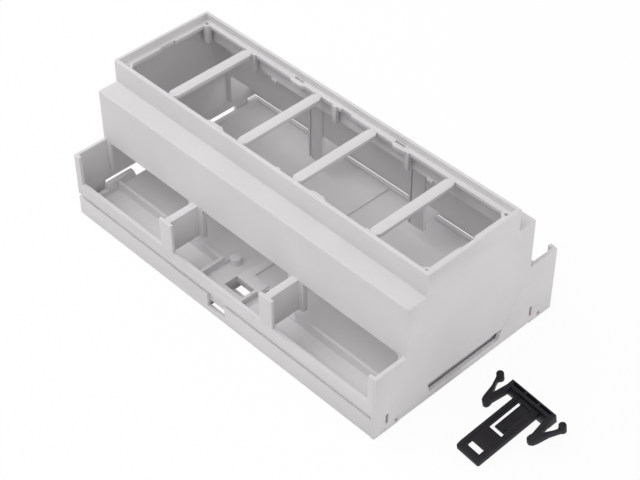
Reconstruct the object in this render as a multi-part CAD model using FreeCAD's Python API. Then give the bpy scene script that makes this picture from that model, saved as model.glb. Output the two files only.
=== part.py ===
import FreeCAD, Part
import math
import os

os.makedirs("parts", exist_ok=True)

# Overall sizes in millimetres, +X along the rail, +Z up from the standing plane
moduleWidth = 17.5
moduleCount = 9
depth = 90.0
height = 60.5
wall = 1.5
fitGap = 0.2

halfLength = moduleWidth * moduleCount / 2
halfDepth = depth / 2
innerEnd = halfLength - wall

# Stepped outline of the cover, seen from the end
frameHalf = 22.46
shoulderTop = height - 9.75
shoulderUnder = shoulderTop - 1.15
blockHalf = 30.76
blockInner = blockHalf - wall
trayTop = 28.7
wallFoot = trayTop - 0.5
stripInner = halfDepth - 1.4
rimTop = 8.3
coverFoot = rimTop + 1.8
stripTop = coverFoot + 5.8
outerRound = 0.5

# Front frame: rim, ledge and window
rimWidth = 1.4
ledgeTop = height - 2.6
ledgeThick = 1.5
ledgeUnder = ledgeTop - ledgeThick
windowHalf = frameHalf - 3.46
windowEnd = halfLength - 3.95
barCentres = (-50.8, -13.9, 13.9, 50.8)
barHalfWidth = 2.1
barTipHalfWidth = 1.0
barTaperFrom = windowHalf - 1.6
barTip = windowHalf + 0.15
bossReachX = windowEnd + 0.1
bossReachY = windowHalf + 0.1
bossRadius = 1.75
bossBore = 0.65
bossFoot = ledgeTop - 7.9
tabsX = (-26.3, 25.05)
pinsX = (-30.0, 5.6, 48.5)
ledgeSlotsX = (-25.4, 25.4)
ledgeSlotY = windowHalf + 1.8
ledgeSlotWide = 0.9

# Terminal bays: dividers between them and flanges at their ends
dividerX = 26.25
dividerFoot = 14.6
flangeHalfWidth = 3.25
webThick = 3.0
pilasterHalfWidth = 3.8
pilasterInner = blockInner - 0.46
endFlangeFrom = innerEnd - 1.75
wallStripFrom = innerEnd - 2.25

# Base tray
rimOuter = halfDepth - 0.2
rimInner = rimOuter - 1.5
floorTop = 3.3
floorUnder = 1.5
liftedEdge = 0.4
railWidth = 35.0
lipFrom = innerEnd - 1.75
lipFootInner = railWidth / 2 + 0.8
lipInner = lipFootInner + 2.2
tongueTo = halfDepth - 5.5
tongueFrom = tongueTo - 6.5
tongueFoot = coverFoot - 5.5
ribTop = 7.0
ribInner = rimInner - 16.4
ribOuter = ribInner + 1.2
crossRibX = -16.95
crossRibThick = 1.25
seatRibY = (14.5, 17.0)
bossX = -13.1
bossY = -23.7
bossOuter = 1.8
bossHole = 0.7

# Window low in one end wall
endWindowTop = 7.9
endWindowFoot = 3.2
endWindowTopY = (-19.5, 17.8)
endWindowFootY = (-18.3, 16.6)

# Channel for the rail clip
channelX = (-5.25, 4.4)
slotX = (-5.0, 4.2)
slotSill = 2.4
blockX = (-6.8, 5.6)
blockY = (6.6 - rimOuter, 19.3 - rimOuter)
blockTop = 7.4
holeY = (8.4 - rimOuter, 14.3 - rimOuter)
bridgeY = (7.8 - rimOuter, 12.8 - rimOuter)
bridgeFoot = 0.8
recessX = (7.0, 8.9)
recessY = (-29.0, -26.3)

# Rail clip, in its own plane: across, along from the tail, thickness
clipTurn = -6.28
clipTilt = 9.56
clipTail = (100.06, -28.75, 1.8)
clipThick = 1.8
clipHalfWidth = 5.55
clipHeadHalf = 10.45
clipHeadFrom = 27.2
clipHeadTo = 32.5
clipArmThick = 2.6
legThick = 1.4
legFoot = 19.0
armTips = ((-15.0, 31.2), (-16.7, 31.6), (-16.9, 30.6), (-12.3, 20.6))
armFoot = (-11.0, -9.8)
springHalf = 2.9
springFrom = 13.5
tongueHalf = 2.2
tongueTip = 14.3
toolSlotY = (3.2, 6.0)
pocketsX = (-6.3, 0.0, 6.3)
pocketHalf = 2.6
railOver = 0.7
headOver = 1.4


def vec(x, y, z):
    return FreeCAD.Vector(x, y, z)


def box(x0, x1, y0, y1, z0, z1):
    return Part.makeBox(x1 - x0, y1 - y0, z1 - z0, vec(x0, y0, z0))


def bothSides(shape):
    return [shape, shape.mirror(vec(0, 0, 0), vec(0, 1, 0))]


def turnedPair(shape):
    turned = shape.copy()
    turned.rotate(vec(0, 0, 0), vec(0, 0, 1), 180)
    return [shape, turned]


def profileAlongX(points, x0, x1):
    wire = Part.makePolygon([vec(x0, y, z) for y, z in points + points[:1]])
    return Part.Face(wire).extrude(vec(x1 - x0, 0, 0))


def profileAlongY(points, y0, y1):
    wire = Part.makePolygon([vec(x, y0, z) for x, z in points + points[:1]])
    return Part.Face(wire).extrude(vec(0, y1 - y0, 0))


def outlineUp(points, z0, z1):
    wire = Part.makePolygon([vec(x, y, z0) for x, y in points + points[:1]])
    return Part.Face(wire).extrude(vec(0, 0, z1 - z0))


def symmetric(points):
    return points + [(-y, z) for y, z in reversed(points)]


def joined(shapes):
    return shapes[0].multiFuse(shapes[1:]).removeSplitter()


def outerEdges(shape, lowest):
    found = []
    for edge in shape.Edges:
        a = edge.Vertexes[0].Point
        b = edge.Vertexes[-1].Point
        onFoot = a.z < lowest + 0.01 and b.z < lowest + 0.01
        if not onFoot:
            found.append(edge)
    return found


def steppedBody():
    outline = symmetric([
        (-halfDepth, coverFoot),
        (-halfDepth, trayTop),
        (-blockHalf, trayTop),
        (-blockHalf, shoulderTop),
        (-frameHalf, shoulderTop),
        (-frameHalf, height),
    ])
    body = profileAlongX(outline, -halfLength, halfLength)
    return body.makeFillet(outerRound, outerEdges(body, coverFoot))


def longEndWall():
    skirt = box(innerEnd, halfLength, -halfDepth, halfDepth, 0, coverFoot + 0.5)
    corners = [e for e in skirt.Edges if abs(e.BoundBox.ZLength) > 1 and e.BoundBox.XMin > innerEnd + 0.1]
    return skirt.makeFillet(outerRound, corners)


def hollow():
    under = coverFoot - 1
    section = symmetric([
        (-stripInner, under),
        (-stripInner, wallFoot),
        (-blockInner, wallFoot),
        (-blockInner, shoulderUnder),
        (-frameHalf + wall, shoulderUnder),
        (-frameHalf + wall, ledgeUnder),
    ])
    return profileAlongX(section, -innerEnd, innerEnd)


def frontOpening():
    rimInnerY = frameHalf - rimWidth
    rimInnerX = halfLength - rimWidth
    pocket = box(-rimInnerX, rimInnerX, -rimInnerY, rimInnerY, ledgeTop, height + 1)
    window = box(-windowEnd, windowEnd, -windowHalf, windowHalf, ledgeUnder - 1, ledgeTop + 1)
    return [pocket, window]


def trayMouths():
    mouth = box(-innerEnd, innerEnd, blockHalf, halfDepth + 1, stripTop, trayTop + 1)
    return bothSides(mouth)


def divider(x):
    flange = box(x - flangeHalfWidth, x + flangeHalfWidth, stripInner, halfDepth, coverFoot, trayTop)
    upright = [e for e in flange.Edges if e.BoundBox.ZLength > 1 and e.BoundBox.YMin > halfDepth - 0.1]
    flange = flange.makeFillet(outerRound, upright)
    web = box(x - webThick / 2, x + webThick / 2, blockHalf - 0.5, stripInner + 0.5, dividerFoot, trayTop)
    pilaster = box(x - pilasterHalfWidth, x + pilasterHalfWidth, pilasterInner, blockHalf,
                   dividerFoot, wallFoot + 1)
    rib = box(x - pilasterHalfWidth, x + pilasterHalfWidth, pilasterInner, blockInner + 0.2,
              wallFoot, shoulderUnder + 0.2)
    return [flange, web, pilaster, rib]


def bayEnds(side):
    x0, x1 = sorted((side * endFlangeFrom, side * (innerEnd + 0.2)))
    flange = box(x0, x1, stripInner, halfDepth, coverFoot, trayTop)
    strip = profileAlongY([
        (side * wallStripFrom, dividerFoot),
        (side * wallStripFrom, wallFoot - 2.6),
        (side * (wallStripFrom - 2.2), wallFoot + 0.2),
        (side * (innerEnd + 0.2), wallFoot + 0.2),
        (side * (innerEnd + 0.2), dividerFoot),
    ], blockInner, blockHalf)
    return [flange, strip]


def crossbar(x):
    tip = barTip - 0.15
    return outlineUp([
        (x - barHalfWidth, -barTaperFrom),
        (x - barTipHalfWidth, -tip - 0.4),
        (x + barTipHalfWidth, -tip - 0.4),
        (x + barHalfWidth, -barTaperFrom),
        (x + barHalfWidth, barTaperFrom),
        (x + barTipHalfWidth, tip + 0.4),
        (x - barTipHalfWidth, tip + 0.4),
        (x - barHalfWidth, barTaperFrom),
    ], ledgeUnder, ledgeTop)


def ledgeTab(x):
    return outlineUp([
        (x - 4.2, -windowHalf - 0.2),
        (x - 2.4, -windowHalf + 1.0),
        (x + 2.4, -windowHalf + 1.0),
        (x + 4.2, -windowHalf - 0.2),
    ], ledgeUnder, ledgeTop)


def hangingPin(x):
    return box(x - 0.95, x + 0.95, -windowHalf - 1.0, -windowHalf + 0.6, shoulderUnder + 0.8, ledgeTop)


def cornerBosses(radius, foot, top):
    bosses = []
    for sx in (-1, 1):
        for sy in (-1, 1):
            bosses.append(Part.makeCylinder(radius, top - foot, vec(sx * bossReachX, sy * bossReachY, foot)))
    return bosses


def ledgeCuts():
    cuts = []
    for x in ledgeSlotsX:
        cuts += turnedPair(box(x - 2.35, x + 2.35, -ledgeSlotY, ledgeSlotWide - ledgeSlotY, ledgeUnder - 1, ledgeTop + 1))
    cuts += turnedPair(box(-2.3, 2.7, -windowHalf - 0.7, -windowHalf + 1, ledgeUnder - 1, ledgeTop + 1))
    cuts += turnedPair(box(windowEnd - 1, windowEnd + 0.7, -3.5, 3.5, ledgeUnder - 1, ledgeTop + 1))
    return cuts


def endWindow():
    return profileAlongX([
        (endWindowTopY[0], endWindowTop),
        (endWindowFootY[0], endWindowFoot),
        (endWindowFootY[1], endWindowFoot),
        (endWindowTopY[1], endWindowTop),
    ], innerEnd - 1, halfLength + 1)


def endWallCuts():
    corner = box(innerEnd - 1, halfLength + 1, tongueFrom, tongueTo, -1, rimTop)
    lifted = box(innerEnd - 1, halfLength + 1, -tongueFrom - 0.1, tongueFrom + 0.1, -1, liftedEdge)
    return bothSides(corner) + [lifted, endWindow()]


def tongues():
    tongue = box(-halfLength, -innerEnd, tongueFrom + 0.3, tongueTo, tongueFoot, coverFoot + 0.5)
    return bothSides(tongue)


def makeCover():
    shell = steppedBody().cut(hollow()).cut(frontOpening()).cut(trayMouths())
    added = [longEndWall()] + tongues()
    for x in (-dividerX, dividerX):
        for piece in divider(x):
            added += bothSides(piece)
    for side in (-1, 1):
        for piece in bayEnds(side):
            added += bothSides(piece)
    added += [crossbar(x) for x in barCentres]
    for x in tabsX:
        added += turnedPair(ledgeTab(x))
    for x in pinsX:
        added += turnedPair(hangingPin(x))
    added += cornerBosses(bossRadius, bossFoot, ledgeTop)
    body = joined([shell] + added)
    bores = cornerBosses(bossBore, bossFoot - 1, ledgeTop + 1)
    return body.cut(ledgeCuts() + endWallCuts() + bores)


def trayBody():
    tray = box(-halfLength, innerEnd - fitGap, -rimOuter, rimOuter, 0, rimTop)
    corners = [e for e in tray.Edges if e.BoundBox.ZLength > 1 and e.BoundBox.XMax < 0]
    tray = tray.makeFillet(1.0, corners)
    inside = box(-lipFrom, lipFrom - fitGap, -rimInner, rimInner, floorTop, rimTop + 1)
    beneath = box(-lipFrom, lipFrom - fitGap, -rimInner, rimInner, -1, floorUnder)
    return tray.cut([inside, beneath])


def lipOpening():
    return profileAlongX([
        (-lipInner, rimTop + 0.01),
        (-lipFootInner, floorTop),
        (lipFootInner, floorTop),
        (lipInner, rimTop + 0.01),
    ], -halfLength - 1, halfLength + 1)


def endRelief():
    front = innerEnd + 0.05
    relief = box(-halfLength - 1, -front, -tongueTo - 0.5, tongueTo + 0.5, -1, rimTop + 1)
    gaps = bothSides(box(-halfLength - 1, halfLength, tongueFrom, tongueTo + 0.5, floorTop, rimTop + 1))
    lifted = [
        box(-halfLength - 1, 1 - lipFrom, -tongueFrom, tongueFrom, -1, liftedEdge),
        box(lipFrom - 1, halfLength, -tongueFrom, tongueFrom, -1, liftedEdge),
    ]
    return [relief] + gaps + lifted


def snapBlocks():
    block = box(innerEnd - 2, halfLength - fitGap, tongueFrom + fitGap, tongueTo - 1.3, 0, rimTop - 0.3)
    nick = box(halfLength - 1.2, halfLength, tongueFrom + 0.4, tongueFrom + 1.9, 0.8, 2.5)
    body = block.cut(nick)
    return bothSides(body)


def seatRibs():
    return bothSides(box(-lipFrom, lipFrom - fitGap, *seatRibY, 0, floorUnder + 0.2))


def baseRibs():
    left = box(-lipFrom + 0.6, crossRibX + crossRibThick, -ribOuter, -ribInner, floorTop - 0.2, ribTop)
    right = box(dividerX, lipFrom - fitGap + 0.2, -ribOuter, -ribInner, floorTop - 0.2, ribTop)
    cross = box(crossRibX, crossRibX + crossRibThick, -rimInner - 0.2, -ribInner, floorTop - 0.2, ribTop)
    return [left, right, cross]


def boardBoss():
    post = Part.makeCylinder(bossOuter, ribTop - floorTop + 0.2, vec(bossX, bossY, floorTop - 0.2))
    bore = Part.makeCylinder(bossHole, 10, vec(bossX, bossY, floorTop + 0.5))
    return post.cut(bore)


def guideBlock():
    body = box(blockX[0], blockX[1], blockY[0], blockY[1], floorUnder, blockTop)
    hole = box(channelX[0], channelX[1], holeY[0], holeY[1], 0, blockTop + 1)
    tunnel = box(channelX[0], channelX[1], blockY[0] - 1, blockY[1] + 2, 0, blockTop - 3.0)
    pocket = box(channelX[1] + 0.4, blockX[1] - 0.4, holeY[0], holeY[1], floorTop, blockTop + 1)
    return body.cut([hole, tunnel, pocket])


def channelCuts():
    floorCut = box(channelX[0], channelX[1], -rimInner, blockY[1], -1, floorTop + 0.01)
    rimSlot = box(slotX[0], slotX[1], -halfDepth - 1, -rimInner + 0.5, slotSill, rimTop + 1)
    recess = box(*recessX, *recessY, floorUnder + 0.6, rimTop)
    return [floorCut, rimSlot, recess]


def makeBase():
    tray = trayBody().cut([lipOpening()] + endRelief())
    tray = joined([tray] + snapBlocks() + seatRibs() + baseRibs() + [boardBoss()])
    tray = tray.cut(channelCuts())
    bridge = box(channelX[0] - 0.5, channelX[1] + 0.5, *bridgeY, bridgeFoot, slotSill)
    return joined([tray, guideBlock(), bridge])


def clipPlate():
    plate = box(-clipHalfWidth, clipHalfWidth, 0, clipHeadFrom + 0.5, 0, clipThick)
    tailCorners = [e for e in plate.Edges if e.BoundBox.ZLength > 1 and e.BoundBox.YMax < 1]
    return plate.makeChamfer(1.2, tailCorners)


def clipRails():
    rail = box(clipHalfWidth - 1.5, clipHalfWidth, 1.4, clipHeadFrom, clipThick - 0.2, clipThick + railOver)
    other = rail.mirror(vec(0, 0, 0), vec(1, 0, 0))
    return [rail, other]


def clipHead():
    head = box(-clipHeadHalf, clipHeadHalf, clipHeadFrom, clipHeadTo, -1.0, clipThick + headOver)
    hook = box(-clipHalfWidth, clipHalfWidth, clipHeadTo - 2.2, clipHeadTo, -5.0, 0)
    return [head, hook]


def clipPockets():
    pockets = []
    for x in pocketsX:
        pockets.append(box(x - pocketHalf, x + pocketHalf, clipHeadTo - 2.2, clipHeadTo - 1.1, clipThick - 0.6, clipThick + 3))
    return pockets


def clipArm():
    outer = [
        (-clipHeadHalf, clipHeadFrom + 1.0),
        (-clipHeadHalf, legFoot + 5.0),
        *armTips,
        (armFoot[0], legFoot + 0.5),
        (armFoot[1], legFoot),
        (-clipHeadHalf + legThick + 0.4, legFoot + 0.4),
        (-clipHeadHalf + legThick + 0.4, clipHeadFrom + 1.0),
    ]
    return outlineUp(outer, 0, clipArmThick)


def makeClip():
    arm = clipArm()
    parts = [clipPlate()] + clipRails() + clipHead() + [arm, arm.mirror(vec(0, 0, 0), vec(1, 0, 0))]
    body = joined(parts)
    springSlot = box(-springHalf, springHalf, springFrom, clipHeadFrom, -2, 5)
    springSlot = springSlot.cut(box(-tongueHalf, tongueHalf, tongueTip, clipHeadTo + 8, -3, 6))
    toolSlot = box(-springHalf, springHalf, *toolSlotY, -2, 5)
    body = body.cut([springSlot, toolSlot] + clipPockets())
    body.rotate(vec(0, 0, 0), vec(1, 0, 0), clipTilt)
    body.rotate(vec(0, 0, 0), vec(0, 0, 1), clipTurn)
    lean = math.radians(clipTilt)
    turn = math.radians(clipTurn)
    corner = (-clipHalfWidth, -math.sin(lean) * clipThick)
    atX = corner[0] * math.cos(turn) - corner[1] * math.sin(turn)
    atY = corner[0] * math.sin(turn) + corner[1] * math.cos(turn)
    body.translate(vec(clipTail[0] - atX, clipTail[1] - atY, 0))
    body.translate(vec(0, 0, -body.BoundBox.ZMin))
    return body


def main():
    makers = [("cover", makeCover), ("base", makeBase), ("rail_clip", makeClip)]
    for name, make in makers:
        shape = make()
        solids = shape.Solids
        print(name, "solids", len(solids), "valid", shape.isValid(), "volume", round(shape.Volume))
        solids[0].exportStep("parts/" + name + ".step")


main()
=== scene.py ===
import bmesh
import bpy
import math
from mathutils import Matrix, Vector


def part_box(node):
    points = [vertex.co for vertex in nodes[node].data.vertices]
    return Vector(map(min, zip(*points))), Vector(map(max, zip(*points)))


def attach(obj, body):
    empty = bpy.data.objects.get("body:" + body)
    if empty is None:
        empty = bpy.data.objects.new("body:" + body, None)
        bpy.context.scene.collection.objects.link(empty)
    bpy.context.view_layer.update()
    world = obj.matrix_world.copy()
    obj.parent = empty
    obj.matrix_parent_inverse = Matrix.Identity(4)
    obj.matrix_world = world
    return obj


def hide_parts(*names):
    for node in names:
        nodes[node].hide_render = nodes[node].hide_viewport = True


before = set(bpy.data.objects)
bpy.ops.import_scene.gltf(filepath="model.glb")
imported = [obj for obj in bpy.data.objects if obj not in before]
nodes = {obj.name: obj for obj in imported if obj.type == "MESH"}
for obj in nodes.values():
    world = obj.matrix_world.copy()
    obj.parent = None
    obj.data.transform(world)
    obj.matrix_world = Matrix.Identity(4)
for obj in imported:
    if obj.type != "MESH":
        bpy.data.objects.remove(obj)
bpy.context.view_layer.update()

print("frame loaded:", ", ".join(sorted(nodes)))


# shared shader groups

def newGroup(name, inputs, outputs):
    group = bpy.data.node_groups.new(name, "ShaderNodeTree")
    for label, kind, value in inputs:
        socket = group.interface.new_socket(name=label, in_out="INPUT", socket_type=kind)
        if value is not None:
            socket.default_value = value
    for label, kind in outputs:
        group.interface.new_socket(name=label, in_out="OUTPUT", socket_type=kind)
    return group, group.nodes.new("NodeGroupInput"), group.nodes.new("NodeGroupOutput")


def mathNode(tree, operation, a, b):
    node = tree.nodes.new("ShaderNodeMath")
    node.operation = operation
    for index, value in enumerate((a, b)):
        if isinstance(value, (int, float)):
            node.inputs[index].default_value = value
        else:
            tree.links.new(value, node.inputs[index])
    return node.outputs[0]


def noiseNode(tree, vector, scale, detail):
    node = tree.nodes.new("ShaderNodeTexNoise")
    node.inputs["Detail"].default_value = detail
    tree.links.new(vector, node.inputs["Vector"])
    if isinstance(scale, (int, float)):
        node.inputs["Scale"].default_value = scale
    else:
        tree.links.new(scale, node.inputs["Scale"])
    return node.outputs["Fac"]


grainDetail = {"fine": 3.0, "broad": 2.0}


def buildSparkGrain():
    group, inside, outside = newGroup("sparkGrain", [
        ("Vector", "NodeSocketVector", None),
        ("Grain Scale", "NodeSocketFloat", 2600.0),
        ("Wave Scale", "NodeSocketFloat", 60.0),
        ("Wave Share", "NodeSocketFloat", 0.4),
    ], [("Height", "NodeSocketFloat"), ("Mottle", "NodeSocketFloat")])
    fine = noiseNode(group, inside.outputs["Vector"], inside.outputs["Grain Scale"], grainDetail["fine"])
    broad = noiseNode(group, inside.outputs["Vector"], inside.outputs["Wave Scale"], grainDetail["broad"])
    waves = mathNode(group, "MULTIPLY", broad, inside.outputs["Wave Share"])
    group.links.new(mathNode(group, "ADD", fine, waves), outside.inputs["Height"])
    group.links.new(broad, outside.inputs["Mottle"])
    return group


sparkGrain = buildSparkGrain()


def plasticMaterial(name, look):
    material = bpy.data.materials.new(name)
    material.use_nodes = True
    tree = material.node_tree
    shader = tree.nodes["Principled BSDF"]
    shader.inputs["Specular IOR Level"].default_value = look["specular"]
    coords = tree.nodes.new("ShaderNodeTexCoord")
    grain = tree.nodes.new("ShaderNodeGroup")
    grain.node_tree = sparkGrain
    grain.inputs["Grain Scale"].default_value = look["grainScale"]
    grain.inputs["Wave Scale"].default_value = look["waveScale"]
    grain.inputs["Wave Share"].default_value = look["waveShare"]
    tree.links.new(coords.outputs["Object"], grain.inputs["Vector"])
    tint = tree.nodes.new("ShaderNodeMapRange")
    tint.inputs["From Min"].default_value, tint.inputs["From Max"].default_value = look["tintRange"]
    tree.links.new(grain.outputs["Mottle"], tint.inputs["Value"])
    blend = tree.nodes.new("ShaderNodeMix")
    blend.data_type = "RGBA"
    blend.inputs["A"].default_value = (*look["deepColour"], 1)
    blend.inputs["B"].default_value = (*look["paleColour"], 1)
    tree.links.new(tint.outputs["Result"], blend.inputs["Factor"])
    tree.links.new(blend.outputs["Result"], shader.inputs["Base Color"])
    rough = tree.nodes.new("ShaderNodeMapRange")
    rough.inputs["From Min"].default_value, rough.inputs["From Max"].default_value = look["roughRange"]
    rough.inputs["To Min"].default_value = look["roughness"] - look["roughnessSpread"]
    rough.inputs["To Max"].default_value = look["roughness"] + look["roughnessSpread"]
    tree.links.new(grain.outputs["Height"], rough.inputs["Value"])
    tree.links.new(rough.outputs["Result"], shader.inputs["Roughness"])
    bump = tree.nodes.new("ShaderNodeBump")
    bump.inputs["Strength"].default_value = look["bumpStrength"]
    bump.inputs["Distance"].default_value = look["bumpDistance"]
    tree.links.new(grain.outputs["Height"], bump.inputs["Height"])
    tree.links.new(bump.outputs["Normal"], shader.inputs["Normal"])
    return material


greyPlastic = {
    "paleColour": (0.678, 0.666, 0.674),
    "deepColour": (0.644, 0.634, 0.641),
    "roughness": 0.62,
    "roughnessSpread": 0.08,
    "specular": 0.35,
    "grainScale": 2600.0,
    "waveScale": 55.0,
    "waveShare": 0.3,
    "tintRange": (0.3, 0.7),
    "roughRange": (0.3, 0.9),
    "bumpStrength": 0.25,
    "bumpDistance": 0.00006,
}
# lighter copy of the grey plastic for the rounded edges: a painted highlight along every softened edge
greyEdgeHighlight = dict(greyPlastic, paleColour=(0.790, 0.780, 0.790), deepColour=(0.750, 0.740, 0.750),
                roughness=0.42)
blackPlastic = {
    "paleColour": (0.017, 0.015, 0.019),
    "deepColour": (0.010, 0.009, 0.011),
    "roughness": 0.52,
    "roughnessSpread": 0.09,
    "specular": 0.24,
    "grainScale": 3200.0,
    "waveScale": 140.0,
    "waveShare": 0.4,
    "tintRange": (0.3, 0.7),
    "roughRange": (0.3, 0.9),
    "bumpStrength": 0.3,
    "bumpDistance": 0.00005,
}
# lighter copy of the black plastic for the clip's rounded edges: a painted highlight along them
blackEdgeHighlight = dict(blackPlastic, paleColour=(0.071, 0.067, 0.075), deepColour=(0.045, 0.044, 0.049),
                 roughness=0.40)

greyFaces = plasticMaterial("greyMoulding", greyPlastic)
# the second grey material paints a highlight on the rounded edges
greyRoundsHighlight = plasticMaterial("greyMouldingEdgeHighlight", greyEdgeHighlight)
blackFaces = plasticMaterial("blackMoulding", blackPlastic)
# the second black material paints a highlight on the clip's rounded edges
blackRoundsHighlight = plasticMaterial("blackMouldingEdgeHighlight", blackEdgeHighlight)
print("materials built:", len(bpy.data.materials))


# closed solids in millimetres, joined and cut before their edges are softened
# beyond: a distance past every face, for cuts that go right through

millimetre = 0.001
beyond = 90
spareAxes = {"x": (1, 2, 0), "y": (0, 2, 1), "z": (0, 1, 2)}


def boxForm(x0, x1, y0, y1, z0, z1):
    return "z", [(x0, y0), (x1, y0), (x1, y1), (x0, y1)], z0, z1


def roundForm(x, y, radius, z0, z1, sides):
    turns = [2 * math.pi * step / sides for step in range(sides)]
    return "z", [(x + radius * math.cos(turn), y + radius * math.sin(turn)) for turn in turns], z0, z1


def addPrism(work, axis, outline, start, end):
    first, second, along = spareAxes[axis]
    rings = []
    for level in (start, end):
        ring = []
        for a, b in outline:
            place = [0.0, 0.0, 0.0]
            place[first], place[second], place[along] = a * millimetre, b * millimetre, level * millimetre
            ring.append(work.verts.new(place))
        rings.append(ring)
    low, high = rings
    faces = [work.faces.new(low), work.faces.new(high)]
    for index in range(len(outline)):
        after = (index + 1) % len(outline)
        faces.append(work.faces.new((low[index], low[after], high[after], high[index])))
    bmesh.ops.recalc_face_normals(work, faces=faces)


def formsMesh(name, forms):
    work = bmesh.new()
    for form in forms:
        addPrism(work, *form)
    mesh = bpy.data.meshes.new(name)
    work.to_mesh(mesh)
    work.free()
    return mesh


def carve(mesh, operation, forms):
    target = bpy.data.objects.new("carved", mesh)
    tool = bpy.data.objects.new("carver", formsMesh("carver", forms))
    for item in (target, tool):
        bpy.context.scene.collection.objects.link(item)
    step = target.modifiers.new("step", "BOOLEAN")
    step.operation = operation
    step.solver = "EXACT"
    step.use_self = True
    step.object = tool
    graph = bpy.context.evaluated_depsgraph_get()
    result = bpy.data.meshes.new_from_object(target.evaluated_get(graph), depsgraph=graph)
    for item in (target, tool):
        bpy.data.objects.remove(item)
    return result


cleaning = {"weld": 0.000002, "flatAngle": 0.3}


def cleaned(mesh):
    work = bmesh.new()
    work.from_mesh(mesh)
    bmesh.ops.remove_doubles(work, verts=work.verts, dist=cleaning["weld"])
    flat = math.radians(cleaning["flatAngle"])
    bmesh.ops.dissolve_limit(work, angle_limit=flat, verts=work.verts, edges=work.edges)
    bmesh.ops.recalc_face_normals(work, faces=work.faces)
    work.to_mesh(mesh)
    work.free()
    return mesh


def mergedCopy(nodeName):
    return cleaned(nodes[nodeName].data.copy())


softening = {"steps": 2, "bevelAngle": 40.0, "smoothAngle": 32.0}


def softenedMoulding(pieceName, mesh, nodeName, body, materials, radius):
    mesh.materials.clear()
    for material in materials:
        mesh.materials.append(material)
    for polygon in mesh.polygons:
        polygon.material_index = 0
    piece = bpy.data.objects.new(pieceName, mesh)
    bpy.context.scene.collection.objects.link(piece)
    bevel = piece.modifiers.new("softEdges", "BEVEL")
    bevel.width = radius
    bevel.segments = softening["steps"]
    bevel.limit_method = "ANGLE"
    bevel.angle_limit = math.radians(softening["bevelAngle"])
    bevel.miter_outer = "MITER_ARC"
    # rounded edges take the second material, a lighter copy that paints a highlight along them
    bevel.material = 1
    bevel.use_clamp_overlap = True
    graph = bpy.context.evaluated_depsgraph_get()
    finished = bpy.data.meshes.new_from_object(piece.evaluated_get(graph), depsgraph=graph)
    piece.modifiers.clear()
    piece.data = finished
    finished.shade_smooth()
    finished.set_sharp_from_angle(angle=math.radians(softening["smoothAngle"]))
    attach(piece, body)
    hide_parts(nodeName)
    print(pieceName, "faces:", len(finished.polygons))


def inMillimetres(nodeName):
    low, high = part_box(nodeName)
    return [value / millimetre for value in low], [value / millimetre for value in high]


# cover: board grooves beside the dividers, smaller corners in the bay openings, hooks on the frame
# skirt, and the foot corners of the long end wall closed, with their snap slots and nicks

coverLook = {
    "edgeRadius": 0.00022,
    "dividerX": 26.25,
    "groove": (2.3, 2.9),  # from the divider's middle
    "grooveDepth": (28.0, 30.1),
    "grooveHeight": (14.0, 49.6),
    "openingEnd": 75.0,
    "openingTop": 28.2,
    "cornerCut": 1.0,
    "cornerReach": 4,
    "wallBand": (29.26, 30.76),
    "hookX": 39.5,
    "hookSize": (2.6, 0.7, 1.0),  # wide, deep, tall
    "hookInto": (0.3, 0.4),
    "skirtFoot": (20.96, 49.6),
    "endWall": (77.25, 78.75),
    "snapY": (33.0, 39.5),
    "snapTop": 8.3,
    "snapSlots": ((-39.5, -38.2), (32.6, 33.9)),
    "slotHeight": (3.5, 8.0),
    "nicks": ((-35.0, -33.6), (37.2, 38.7)),
    "nickHeight": (0.9, 2.5),
    "nickDepth": 0.9,
}


def coverForms():
    cuts = []
    hooks = []
    inner, outer = coverLook["wallBand"]
    end, top = coverLook["openingEnd"], coverLook["openingTop"]
    cut, reach = coverLook["cornerCut"], coverLook["cornerReach"]
    hookInto = coverLook["hookInto"]
    for side in (-1, 1):
        for divider in (-1, 1):
            xs = sorted(divider * coverLook["dividerX"] - side * away for away in coverLook["groove"])
            ys = sorted(side * away for away in coverLook["grooveDepth"])
            cuts.append(boxForm(*xs, *ys, *coverLook["grooveHeight"]))
            corner = [(end, top - reach), (end, top - cut), (end - cut, top), (end - reach, top),
                      (end - reach, top - reach)]
            cuts.append(("y", [(divider * x, z) for x, z in corner], *sorted((side * inner, side * outer))))
        wide, deep, tall = coverLook["hookSize"]
        skirtY, skirtZ = coverLook["skirtFoot"]
        for x in (-coverLook["hookX"], coverLook["hookX"]):
            ys = sorted((side * (skirtY - deep), side * (skirtY + hookInto[0])))
            foot = skirtZ - hookInto[1]
            hooks.append(boxForm(x - wide / 2, x + wide / 2, *ys, foot, foot + tall))
    return cuts, hooks


def snapCornerForms():
    fills = []
    cuts = []
    inner, outer = coverLook["endWall"]
    for side in (-1, 1):
        ys = sorted(side * away for away in coverLook["snapY"])
        fills.append(boxForm(inner, outer, *ys, 0, coverLook["snapTop"]))
    for slot in coverLook["snapSlots"]:
        cuts.append(boxForm(inner - 1, outer + 1, *slot, *coverLook["slotHeight"]))
    for nick in coverLook["nicks"]:
        cuts.append(boxForm(outer - coverLook["nickDepth"], outer + 1, *nick, *coverLook["nickHeight"]))
    return fills, cuts


def makeCover():
    cuts, hooks = coverForms()
    fills, snapCuts = snapCornerForms()
    mesh = carve(mergedCopy("cover"), "DIFFERENCE", cuts)
    mesh = carve(mesh, "UNION", hooks + fills)
    mesh = carve(mesh, "DIFFERENCE", snapCuts)
    softenedMoulding("coverMoulding", cleaned(mesh), "cover", "lid",
                     [greyFaces, greyRoundsHighlight], coverLook["edgeRadius"])


makeCover()


# base: raised floor over the rail, lower trays along the near side, end lips, board ribs, guide block
# for the clip, snap blocks and the wall behind the end window

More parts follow.
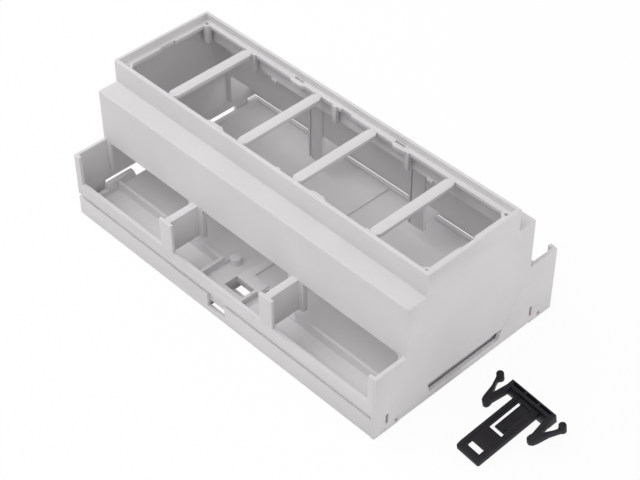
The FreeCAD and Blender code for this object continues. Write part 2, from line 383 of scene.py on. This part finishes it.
baseLook = {
    "edgeRadius": 0.00020,
    "rim": 1.5,
    "highFloor": 7.4,
    "lowFloor": 6.8,
    "nearTray": 6.2,
    "floorThick": 1.6,
    "stepX": -1.0,
    "plateauX": 6.6,
    "plateauY": -25.3,
    "endInner": 73.3,
    "endOuter": 75.1,
    "notchEnd": 74.0,
    "notchY": (-21.4, 21.0),
    "lipY": (-35.1, -22.6),
    "lipTop": 11.2,
    "farEnd": 75.3,
    "tongueEnd": 40.0,
    "overlap": 0.01,
    "join": 0.5,
    "rimJoin": 0.1,
    "ribRoot": 0.6,
    "webShoulder": 0.4,
    "tongueBack": 77.15,
    "lowEnd": 5.2,
    "railY": (-18.3, 16.6),
    "railSlant": 0.5,
    "railStep": 3.3,
    "flank": 1.6,
    "ribY": (-30.5, -29.3),
    "ribTop": 10.3,
    "crossX": (-14.4, -13.2),
    "leftRib": -73.0,
    "rightRib": 25.3,
    "boss": (-10.6, -26.1, 2.0, 10.2),  # middle, radius, top
    "bossSides": 40,
    "webHalf": 0.5,
    "webDrop": 1.5,
    "channelX": (-5.25, 4.4),
    "blockX": (-6.8, 5.6),
    "blockY": (-43.4, -25.5),
    "tunnelStop": 1.5,
    "holeY": (-36.4, -30.5),
    "tunnelTop": 4.4,
    "slotX": (-5.0, 4.2),
    "slotSill": 2.4,
    "bridge": (-37.0, -32.0, 0.8),  # near, far, foot
    "pocket": (5.6, 9.0, -37.6, 4.9),  # x from and to, near, floor
    "recess": (7.2, 8.7, -28.7, -26.5, 5.6),  # x from and to, y from and to, floor
    "snapFace": 77.1,
    "snapBlocks": ((-39.3, -33.2), (33.2, 39.3)),
    "snapTop": 6.0,
    "windowWall": (-28.0, 28.0, 76.3, 7.0),  # y from and to, face, top
    "trayEnd": 77.05,
    "channelNear": -43.29,
    "blockFoot": 1.5,
    "openTop": 20,
}


def lipForms(rimTop):
    inner, outer = baseLook["endInner"], baseLook["endOuter"]
    near, far = baseLook["lipY"]
    slant = baseLook["notchY"][0]
    outline = [(near, rimTop - 2), (near, baseLook["lipTop"]), (far, baseLook["lipTop"]),
               (slant, baseLook["highFloor"]), (slant, rimTop - 2)]
    return [("x", outline, -outer, -inner), ("x", outline, inner, outer)]


def insideCuts(rimInner):
    high, low, near = baseLook["highFloor"], baseLook["lowFloor"], baseLook["nearTray"]
    end, farEnd = baseLook["endInner"], baseLook["farEnd"]
    stepX, plateauX, plateauY = baseLook["stepX"], baseLook["plateauX"], baseLook["plateauY"]
    notchFar = baseLook["notchY"][1]
    trayY = baseLook["ribY"][0]
    pocketFrom, pocketTo, pocketY, pocketFloor = baseLook["pocket"]
    over = baseLook["openTop"]
    return [
        boxForm(-end, stepX, -rimInner, rimInner, high, over),
        boxForm(-farEnd, stepX, notchFar, rimInner, high, over),
        boxForm(stepX - 1, plateauX, -rimInner, rimInner, high, over),
        boxForm(stepX, end, plateauY, rimInner, low, over),
        boxForm(stepX, farEnd, notchFar, rimInner, low, over),
        boxForm(plateauX, end, -rimInner, rimInner, low, over),
        boxForm(-end, baseLook["crossX"][0], -rimInner, trayY, near, over),
        boxForm(pocketFrom, end, -rimInner, trayY, near, over),
        boxForm(pocketFrom, pocketTo, pocketY, trayY, pocketFloor, over),
    ]


def endCuts():
    inner, outer, notch = baseLook["endInner"], baseLook["endOuter"], baseLook["notchEnd"]
    near, far = baseLook["notchY"]
    lipNear, lipFar = baseLook["lipY"]
    high, back, tongueTo = baseLook["highFloor"], baseLook["tongueBack"], baseLook["tongueEnd"]
    over, overlap = baseLook["openTop"], baseLook["overlap"]
    slant = [(near, high), (lipFar, baseLook["lipTop"]), (lipFar, over + 10), (far, over + 10), (far, high)]
    return [
        ("x", slant, -beyond, -inner + overlap),
        ("x", slant, inner - overlap, beyond),
        boxForm(-beyond, -notch, near, far, -1, high + overlap),
        boxForm(-beyond, -outer, lipNear, far, -1, over),
        boxForm(outer, beyond, lipNear, far, -1, over),
        boxForm(-beyond, -back, -tongueTo, lipNear + 1, -1, over),
        boxForm(-beyond, -back, far - 1, tongueTo, -1, over),
        boxForm(-beyond, -outer, -tongueTo, lipNear + 1, baseLook["lowEnd"], over),
    ]


def underCuts(rimInner):
    near, far = baseLook["railY"]
    slant, step = baseLook["railSlant"], baseLook["railStep"]
    thick, flank = baseLook["floorThick"], baseLook["flank"]
    under = baseLook["lowFloor"] - thick
    nearUnder = baseLook["nearTray"] - thick
    end, farEnd = baseLook["endInner"], baseLook["farEnd"]
    rail = [(near, -1), (near, step), (near - slant, under), (far + slant, under), (far, step), (far, -1)]
    return [
        ("x", rail, -beyond, end),
        boxForm(-end, end, -rimInner, near - flank, -1, nearUnder),
        boxForm(-end, end, far + flank, rimInner, -1, under),
        boxForm(-farEnd, farEnd, baseLook["notchY"][1] + flank, rimInner, -1, under),
    ]


def boardForms(rimInner):
    ribY, top, root = baseLook["ribY"], baseLook["ribTop"], baseLook["ribRoot"]
    low = baseLook["nearTray"] - root
    crossX = baseLook["crossX"]
    rootX, shoulderX = crossX[1] - root, crossX[1] + baseLook["webShoulder"]
    bossX, bossY, radius, bossTop = baseLook["boss"]
    webHalf = baseLook["webHalf"]
    web = [(rootX, ribY[1] - root), (rootX, bossY + webHalf), (bossX, bossY + webHalf),
           (bossX, bossY - webHalf), (shoulderX, bossY - webHalf), (shoulderX, ribY[1] - root)]
    return [
        boxForm(baseLook["leftRib"], crossX[1], *ribY, low, top),
        boxForm(baseLook["rightRib"], baseLook["endInner"] + baseLook["join"], *ribY, low, top),
        boxForm(*crossX, -rimInner - baseLook["rimJoin"], ribY[1], low, top),
        roundForm(bossX, bossY, radius, low, bossTop, baseLook["bossSides"]),
        ("z", web, low, bossTop - baseLook["webDrop"]),
    ]


def snapForms():
    back = baseLook["endOuter"] - baseLook["join"]
    face, top = baseLook["snapFace"], baseLook["snapTop"]
    near, far, wallFace, wallTop = baseLook["windowWall"]
    blocks = [boxForm(back, face, *ys, 0, top) for ys in baseLook["snapBlocks"]]
    return blocks + [boxForm(back, wallFace, near, far, 0, wallTop)]


def clipWayForms():
    blockX, blockY, channelX = baseLook["blockX"], baseLook["blockY"], baseLook["channelX"]
    slotX, holeY = baseLook["slotX"], baseLook["holeY"]
    bridgeNear, bridgeFar, bridgeFoot = baseLook["bridge"]
    x0, x1, y0, y1, recessFloor = baseLook["recess"]
    near, over = baseLook["channelNear"], baseLook["openTop"]
    block = boxForm(*blockX, *blockY, baseLook["blockFoot"], baseLook["nearTray"])
    cuts = [
        boxForm(*channelX, *holeY, -1, over),
        boxForm(*channelX, near, blockY[1] - baseLook["tunnelStop"], -1, baseLook["tunnelTop"]),
        boxForm(*slotX, -beyond, near, baseLook["slotSill"], over),
        boxForm(x0, x1, y0, y1, recessFloor, over),
    ]
    join = baseLook["join"]
    bridge = boxForm(channelX[0] - join, channelX[1] + join, bridgeNear, bridgeFar, bridgeFoot,
                     baseLook["slotSill"])
    return block, cuts, bridge


def makeBase():
    low, high = inMillimetres("base")
    rimTop = high[2]
    rimInner = high[1] - baseLook["rim"]
    block, wayCuts, bridge = clipWayForms()
    mesh = formsMesh("baseMoulding", [boxForm(low[0], baseLook["trayEnd"], low[1], high[1], 0, rimTop)])
    mesh = carve(mesh, "UNION", lipForms(rimTop))
    mesh = carve(mesh, "DIFFERENCE", insideCuts(rimInner) + endCuts() + underCuts(rimInner))
    mesh = carve(mesh, "UNION", boardForms(rimInner) + snapForms() + [block])
    mesh = carve(mesh, "DIFFERENCE", wayCuts)
    mesh = carve(mesh, "UNION", [bridge])
    softenedMoulding("baseMoulding", cleaned(mesh), "base", "case",
                     [greyFaces, greyRoundsHighlight], baseLook["edgeRadius"])


makeBase()


# rail clip: flat plate with two rails, an upright head with three pockets, a spring tongue and two
# forked arms, leaning on its hook

clipLook = {
    "edgeRadius": 0.00022,
    "plate": (5.3, 28.0, 0.9, 1.8),  # half width, length, underside, top
    "tailFall": (0.5, 2.2),  # drop and length of the sloping tail
    "tailCut": 0.5,
    "cutHeight": (-2, 5),
    "tailLength": 3.4,
    "railWidth": 1.4,
    "railTop": 2.15,
    "head": (10.25, 27.0, 30.8, 1.2),  # half width, y from and to, top
    "headWall": (28.2, 3.0),  # y from, top
    "hook": (28.6, -5.7),  # y from, foot
    "pockets": (-6.3, -0.1, 6.2),
    "pocketHalf": 2.65,
    "pocketY": (29.4, 30.3),
    "pocketFloor": 0.6,
    "toolSlot": (2.9, 2.85, 5.2),  # half width, y from and to
    "opening": (3.0, 12.7, 26.6),  # half width, y from and to
    "tongue": (2.15, 14.5, 0.8),  # half width, y from, top
    "tongueUnder": -0.1,
    "bump": (15.0, 17.8, 0.3, 1.4),  # y from and to, foot, top
    "bumpFlat": 0.8,
    "bumpInset": 0.4,
    "armHeight": (0.3, 2.7),
    "bulb": (-14.75, 29.15, 1.35, 3.6),  # middle, radius, top
    "bulbSides": 28,
    "origin": (105.37, -28.41),
    "turn": -4.93,
    "tilt": 10.63,
}

armOutline = [
    (-8.6, 29.0), (-8.6, 26.3), (-9.6, 20.4), (-9.35, 19.2), (-9.4, 18.2), (-9.9, 17.5), (-11.0, 17.3),
    (-12.1, 18.1), (-12.7, 19.6), (-13.7, 24.2), (-15.1, 27.4), (-15.9, 28.8), (-13.7, 28.5),
    (-14.2, 27.4), (-13.6, 26.0), (-12.8, 24.7), (-11.5, 22.4), (-11.1, 24.1), (-10.25, 29.0),
]


def mirrored(outline):
    return [(-x, y) for x, y in outline]


def clipSolid():
    half, plateEnd, under, top = clipLook["plate"]
    rail, railTop = clipLook["railWidth"], clipLook["railTop"]
    headHalf, headFrom, headTo, headLow = clipLook["head"]
    wallFrom, wallTop = clipLook["headWall"]
    hookFrom, hookFoot = clipLook["hook"]
    bulbX, bulbY, bulbRadius, bulbTop = clipLook["bulb"]
    armLow, armTop = clipLook["armHeight"]
    sides = clipLook["bulbSides"]
    solids = [
        boxForm(-half, half, 0, plateEnd, under, top),
        boxForm(-half, half, 0, clipLook["tailLength"], 0, top),
        boxForm(-half, rail - half, 0, plateEnd, 0, railTop),
        boxForm(half - rail, half, 0, plateEnd, 0, railTop),
        boxForm(-headHalf, headHalf, headFrom, headTo, -1, headLow),
        boxForm(-headHalf, headHalf, wallFrom, headTo, -1, wallTop),
        boxForm(-half, half, hookFrom, headTo, hookFoot, 0),
        ("z", armOutline, armLow, armTop),
        ("z", mirrored(armOutline), armLow, armTop),
        roundForm(bulbX, bulbY, bulbRadius, armLow, bulbTop, sides),
        roundForm(-bulbX, bulbY, bulbRadius, armLow, bulbTop, sides),
    ]
    mesh = formsMesh("clipMoulding", solids[:1])
    return carve(mesh, "UNION", solids[1:])


def clipCuts():
    half, top = clipLook["plate"][0], clipLook["plate"][3]
    corner, railTop = clipLook["tailCut"], clipLook["railTop"]
    fall, fallTo = clipLook["tailFall"]
    under, over = clipLook["cutHeight"]
    slotHalf, slotFrom, slotTo = clipLook["toolSlot"]
    openHalf, openFrom, openTo = clipLook["opening"]
    cuts = [
        boxForm(-slotHalf, slotHalf, slotFrom, slotTo, under, over),
        boxForm(-openHalf, openHalf, openFrom, openTo, under, over),
        ("x", [(-1, top - fall), (-1, over), (fallTo, over), (fallTo, railTop)], -half - 1, half + 1),
    ]
    tail = [(-half - 1, -1), (-half - 1, corner + 1), (-half, corner), (-half + corner, 0),
            (-half + corner + 1, -1)]
    cuts += [("z", tail, under, over), ("z", mirrored(tail), under, over)]
    near, far = clipLook["pocketY"]
    wide, floor = clipLook["pocketHalf"], clipLook["pocketFloor"]
    for x in clipLook["pockets"]:
        cuts.append(boxForm(x - wide, x + wide, near, far, floor, over))
    return cuts


def tongueForms():
    tongueHalf, tongueFrom, tongueTop = clipLook["tongue"]
    bumpFrom, bumpTo, bumpFoot, bumpTop = clipLook["bump"]
    inset, tongueTo = clipLook["bumpInset"], clipLook["head"][1] + 1
    wedge = [(bumpFrom, bumpFoot), (bumpFrom, bumpTop), (bumpFrom + clipLook["bumpFlat"], bumpTop),
             (bumpTo, bumpFoot)]
    return [
        boxForm(-tongueHalf, tongueHalf, tongueFrom, tongueTo, clipLook["tongueUnder"], tongueTop),
        ("x", wedge, -tongueHalf + inset, tongueHalf - inset),
    ]


def makeClip():
    mesh = carve(clipSolid(), "DIFFERENCE", clipCuts())
    mesh = cleaned(carve(mesh, "UNION", tongueForms()))
    leaning = Matrix.Rotation(math.radians(clipLook["tilt"]), 4, "X")
    mesh.transform(Matrix.Rotation(math.radians(clipLook["turn"]), 4, "Z") @ leaning)
    x, y = [value * millimetre for value in clipLook["origin"]]
    lowest = min(vertex.co.z for vertex in mesh.vertices)
    mesh.transform(Matrix.Translation((x, y, -lowest)))
    softenedMoulding("clipMoulding", mesh, "rail_clip", "case",
                     [blackFaces, blackRoundsHighlight], clipLook["edgeRadius"])


makeClip()


# floor, light and camera

floorLook = {
    "size": 4.0,
    "drop": 0.0002,
    "colour": (0.86, 0.86, 0.86),
    "roughness": 0.9,
    "cameraWhite": 0.94,
}


def makeFloor():
    half = floorLook["size"] / 2
    mesh = bpy.data.meshes.new("studioFloor")
    corners = [(-half, -half), (half, -half), (half, half), (-half, half)]
    mesh.from_pydata([(x, y, -floorLook["drop"]) for x, y in corners], [], [(0, 1, 2, 3)])
    floor = bpy.data.objects.new("studioFloor", mesh)
    bpy.context.scene.collection.objects.link(floor)
    material = bpy.data.materials.new("paleFloor")
    material.use_nodes = True
    tree = material.node_tree
    shader = tree.nodes["Principled BSDF"]
    shader.inputs["Base Color"].default_value = (*floorLook["colour"], 1)
    shader.inputs["Roughness"].default_value = floorLook["roughness"]
    glow = tree.nodes.new("ShaderNodeEmission")
    glow.inputs["Strength"].default_value = 1.0
    rays = tree.nodes.new("ShaderNodeLightPath")
    seen = mathNode(tree, "MAXIMUM", rays.outputs["Is Camera Ray"], rays.outputs["Is Glossy Ray"])
    share = mathNode(tree, "MULTIPLY", seen, floorLook["cameraWhite"])
    mix = tree.nodes.new("ShaderNodeMixShader")
    tree.links.new(share, mix.inputs["Fac"])
    tree.links.new(shader.outputs[0], mix.inputs[1])
    tree.links.new(glow.outputs[0], mix.inputs[2])
    tree.links.new(mix.outputs[0], tree.nodes["Material Output"].inputs["Surface"])
    mesh.materials.append(material)


makeFloor()

studioLight = {
    "skyColour": (1.0, 0.995, 0.995),
    "skyStrength": 0.60,
    "aim": (0, 0, 0.03),
    "softboxes": {  # place, size, power in watts
        "topSoftbox": ((-0.65, -0.20, 0.85), 0.9, 4.5),
        "frontSoftbox": ((0.00, -0.60, 1.00), 0.8, 2.9),
        "endSoftbox": ((1.10, 0.42, 0.12), 0.6, 4.0),
    },
}


def makeWorld():
    world = bpy.data.worlds.new("studioWorld")
    bpy.context.scene.world = world
    world.use_nodes = True
    tree = world.node_tree
    sky = tree.nodes["Background"]
    sky.inputs["Color"].default_value = (*studioLight["skyColour"], 1)
    sky.inputs["Strength"].default_value = studioLight["skyStrength"]
    white = tree.nodes.new("ShaderNodeBackground")
    white.inputs["Color"].default_value = (1, 1, 1, 1)
    rays = tree.nodes.new("ShaderNodeLightPath")
    mix = tree.nodes.new("ShaderNodeMixShader")
    tree.links.new(rays.outputs["Is Camera Ray"], mix.inputs["Fac"])
    tree.links.new(sky.outputs[0], mix.inputs[1])
    tree.links.new(white.outputs[0], mix.inputs[2])
    tree.links.new(mix.outputs[0], tree.nodes["World Output"].inputs["Surface"])


def makeLamp(name, place, aim, size, power):
    data = bpy.data.lights.new(name, "AREA")
    data.shape = "DISK"
    data.size = size
    data.energy = power
    lamp = bpy.data.objects.new(name, data)
    lamp.location = place
    lamp.rotation_mode = "QUATERNION"
    lamp.rotation_quaternion = (Vector(aim) - Vector(place)).to_track_quat("-Z", "Y")
    bpy.context.scene.collection.objects.link(lamp)


makeWorld()
for lampName, (place, size, power) in studioLight["softboxes"].items():
    makeLamp(lampName, place, studioLight["aim"], size, power)

photoCamera = {
    "azimuth": 46.389,
    "elevation": 42.713,
    "roll": -0.253,
    "place": (0.32262, -0.30141, 0.41654),
    "lens": 92.131,
    "sensor": 36.0,
    "clip": (0.01, 20.0),
}


def makeCamera():
    azimuth, elevation, roll = [math.radians(photoCamera[key]) for key in ("azimuth", "elevation", "roll")]
    back = Vector((math.sin(azimuth) * math.cos(elevation), -math.cos(azimuth) * math.cos(elevation),
                   math.sin(elevation)))
    flat = Vector((math.cos(azimuth), math.sin(azimuth), 0))
    upright = back.cross(flat)
    right = flat * math.cos(roll) + upright * math.sin(roll)
    up = upright * math.cos(roll) - flat * math.sin(roll)
    data = bpy.data.cameras.new("photoCamera")
    data.sensor_width = photoCamera["sensor"]
    data.lens = photoCamera["lens"]
    data.clip_start, data.clip_end = photoCamera["clip"]
    camera = bpy.data.objects.new("photoCamera", data)
    camera.rotation_mode = "QUATERNION"
    camera.rotation_quaternion = Matrix((right, up, back)).transposed().to_quaternion()
    camera.location = photoCamera["place"]
    bpy.context.scene.collection.objects.link(camera)
    bpy.context.scene.camera = camera


makeCamera()
bpy.context.scene.view_settings.view_transform = "Standard"
print("studio ready")
